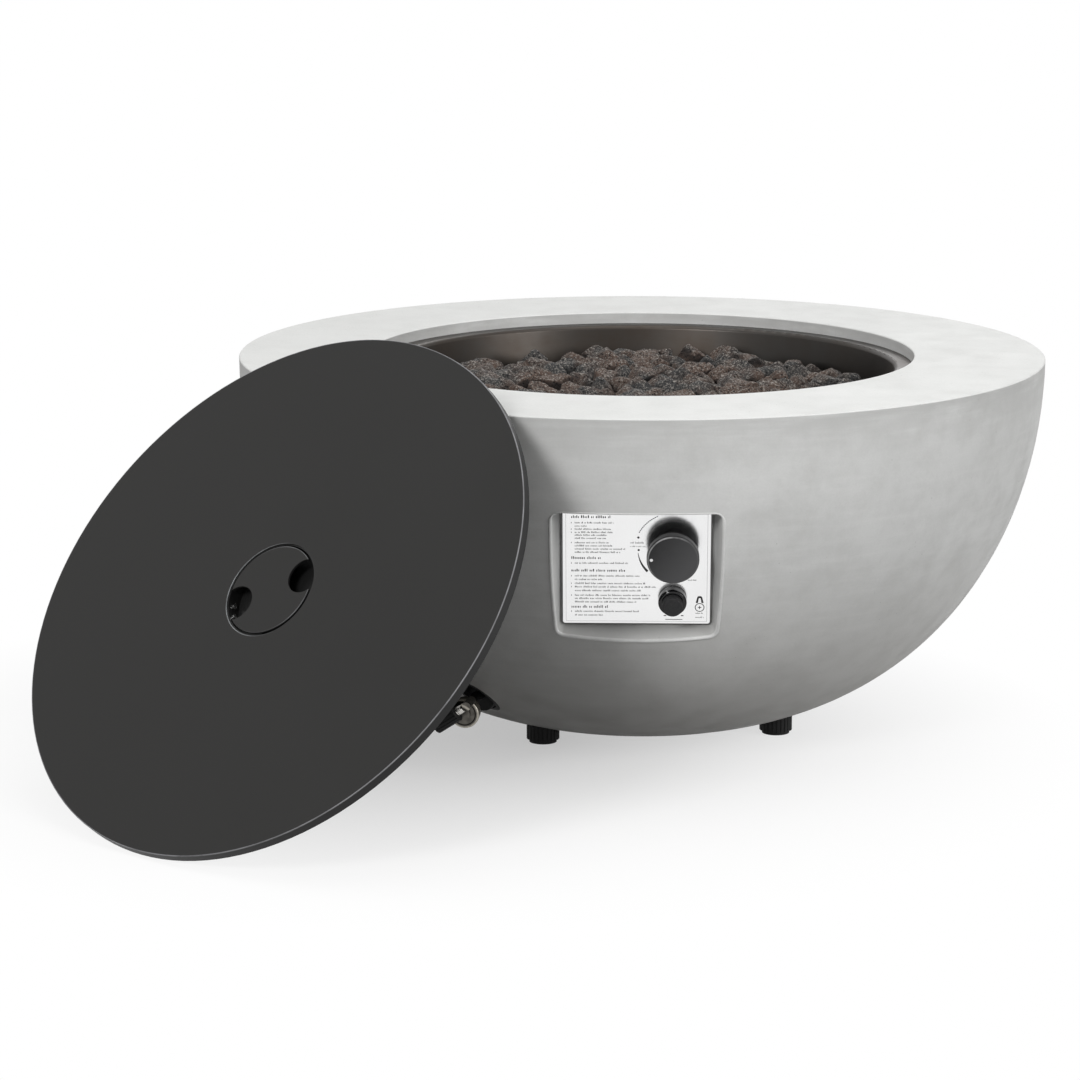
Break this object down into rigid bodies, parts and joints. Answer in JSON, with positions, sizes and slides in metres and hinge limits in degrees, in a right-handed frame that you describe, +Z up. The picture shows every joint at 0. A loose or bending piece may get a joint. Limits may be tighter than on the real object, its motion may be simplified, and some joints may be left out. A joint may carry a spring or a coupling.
{
  "type": "gas fire pit table",
  "caption": "Round cast-concrete gas fire pit table with a lava rock burner pan, a recessed control panel, levelling feet and a steel lid that leans on the rim.",
  "frame": {"origin": "on the floor, on the bowl's vertical axis", "axes": "+Z up; -Y towards the control panel; +X to the right as seen by someone who faces the panel"},
  "size_m": [1.2849, 1.3656, 0.5575],
  "materials": {
    "concrete": "matte cast concrete",
    "pan_steel": "heat-tinted satin",
    "burner_steel": "satin",
    "shield_steel": "galvanised",
    "brass": "machined",
    "ceramic_white": "glazed",
    "lava_rock": "rough, porous",
    "panel_steel": "polished",
    "knob_black": "satin",
    "dot_white": "matte",
    "valve_alloy": "die cast",
    "zinc_steel": "zinc plated",
    "igniter_plastic": "matte",
    "cap_black": "glossy",
    "button_black": "fine texture",
    "battery_shell": "satin",
    "flex_steel": "corrugated",
    "line_rubber": "matte",
    "lead_silicone": "matte",
    "foot_plastic": "ribbed, matte",
    "pad_rubber": "matte",
    "grommet_rubber": "matte",
    "pipe_black": "satin black",
    "regulator_alloy": "painted satin",
    "bright_steel": "knurled, polished",
    "wheel_black": "ribbed, matte",
    "lid_paint": "satin charcoal",
    "cup_black": "satin black",
    "screw_steel": "polished"
  },
  "bodies": {
    "bowl": {"bowl_shell": "concrete", "burner_pan": "pan_steel", "burner_ring": "burner_steel", "burner_lock_nut": "zinc_steel", "heat_shield": "shield_steel", "shield_spacers": "shield_steel", "venturi_mixer": "burner_steel", "orifice_fitting": "brass", "pilot_bracket": "burner_steel", "spark_electrode": "ceramic_white", "thermocouple": "brass", "lava_rock_bed": "lava_rock", "lava_rocks": "lava_rock", "control_panel": "panel_steel", "panel_nuts": "zinc_steel", "valve_body": "valve_alloy", "valve_nut": "brass", "igniter_body": "igniter_plastic", "igniter_battery": "battery_shell", "igniter_nut": "igniter_plastic", "flex_gas_line": "flex_steel", "inlet_gas_line": "line_rubber", "ignition_lead": "lead_silicone", "thermocouple_lead": "brass", "foot_inserts": "brass", "inlet_grommet": "grommet_rubber", "inlet_pipe": "pipe_black", "regulator_body": "regulator_alloy", "regulator_cover": "regulator_alloy", "inlet_ferrule": "bright_steel"},
    "lid": {"lid_plate": "lid_paint", "lid_handle_cup": "cup_black", "lid_handle_bridge": "lid_paint", "lid_handle_screws": "screw_steel"},
    "valve_plug": {"valve_plug": "brass"},
    "knob": {"valve_stem": "zinc_steel", "control_knob": "knob_black", "knob_mark": "dot_white"},
    "igniter_cap": {"igniter_cap": "cap_black"},
    "igniter_button": {"igniter_button": "button_black"},
    "inlet_handwheel": {"inlet_handwheel": "wheel_black"},
    "foot_pad_1": {"foot_pad_1": "pad_rubber"},
    "foot_wheel_1": {"foot_wheel_1": "foot_plastic"},
    "foot_pad_2": {"foot_pad_2": "pad_rubber"},
    "foot_wheel_2": {"foot_wheel_2": "foot_plastic"},
    "foot_pad_3": {"foot_pad_3": "pad_rubber"},
    "foot_wheel_3": {"foot_wheel_3": "foot_plastic"},
    "foot_pad_4": {"foot_pad_4": "pad_rubber"},
    "foot_wheel_4": {"foot_wheel_4": "foot_plastic"}
  },
  "joints": [
    {"name": "lid_lift", "type": "slide", "parent": "bowl", "child": "lid", "axis": [-0.496, -0.5943, 0.6331], "range_m": [0, 0.5]},
    {"name": "gas_knob_turn", "type": "hinge", "parent": "bowl", "child": "valve_plug", "pos_m": [0.04, -0.46308, 0.31639], "axis": [0, -0.9703, -0.2419], "range_deg": [-100, 130]},
    {"name": "gas_knob_push", "type": "slide", "parent": "valve_plug", "child": "knob", "axis": [0, 0.9703, 0.2419], "range_m": [0, 0.003], "stiffness_N_per_m": 1500, "springref_m": -0.001},
    {"name": "igniter_cap_off", "type": "slide", "parent": "bowl", "child": "igniter_cap", "axis": [0, -0.9703, -0.2419], "range_m": [0, 0.06]},
    {"name": "igniter_press", "type": "slide", "parent": "igniter_cap", "child": "igniter_button", "axis": [0, 0.9703, 0.2419], "range_m": [0, 0.003], "stiffness_N_per_m": 1200, "springref_m": -0.001},
    {"name": "handwheel_spin", "type": "hinge", "parent": "bowl", "child": "inlet_handwheel", "pos_m": [-0.22606, -0.34592, 0.08378], "axis": [-0.7992, 0.2198, -0.5594], "continuous": true},
    {"name": "foot_1_height", "type": "slide", "parent": "bowl", "child": "foot_pad_1", "axis": [0, 0, -1], "range_m": [0, 0.012]},
    {"name": "foot_1_screw", "type": "hinge", "parent": "foot_pad_1", "child": "foot_wheel_1", "pos_m": [-0.12556, -0.18065, 0.01], "axis": [0, 0, -1], "range_deg": [0, 2880.01]},
    {"name": "foot_2_height", "type": "slide", "parent": "bowl", "child": "foot_pad_2", "axis": [0, 0, -1], "range_m": [0, 0.012]},
    {"name": "foot_2_screw", "type": "hinge", "parent": "foot_pad_2", "child": "foot_wheel_2", "pos_m": [0.18065, -0.12556, 0.01], "axis": [0, 0, -1], "range_deg": [0, 2880.01]},
    {"name": "foot_3_height", "type": "slide", "parent": "bowl", "child": "foot_pad_3", "axis": [0, 0, -1], "range_m": [0, 0.012]},
    {"name": "foot_3_screw", "type": "hinge", "parent": "foot_pad_3", "child": "foot_wheel_3", "pos_m": [0.12556, 0.18065, 0.01], "axis": [0, 0, -1], "range_deg": [0, 2880.01]},
    {"name": "foot_4_height", "type": "slide", "parent": "bowl", "child": "foot_pad_4", "axis": [0, 0, -1], "range_m": [0, 0.012]},
    {"name": "foot_4_screw", "type": "hinge", "parent": "foot_pad_4", "child": "foot_wheel_4", "pos_m": [-0.18065, 0.12556, 0.01], "axis": [0, 0, -1], "range_deg": [0, 2880.01]}
  ],
  "couplings": [
    {"joint": "foot_1_screw", "follows": "foot_1_height", "rad_per_m": 4188.8},
    {"joint": "foot_2_screw", "follows": "foot_2_height", "rad_per_m": 4188.8},
    {"joint": "foot_3_screw", "follows": "foot_3_height", "rad_per_m": 4188.8},
    {"joint": "foot_4_screw", "follows": "foot_4_height", "rad_per_m": 4188.8}
  ]
}
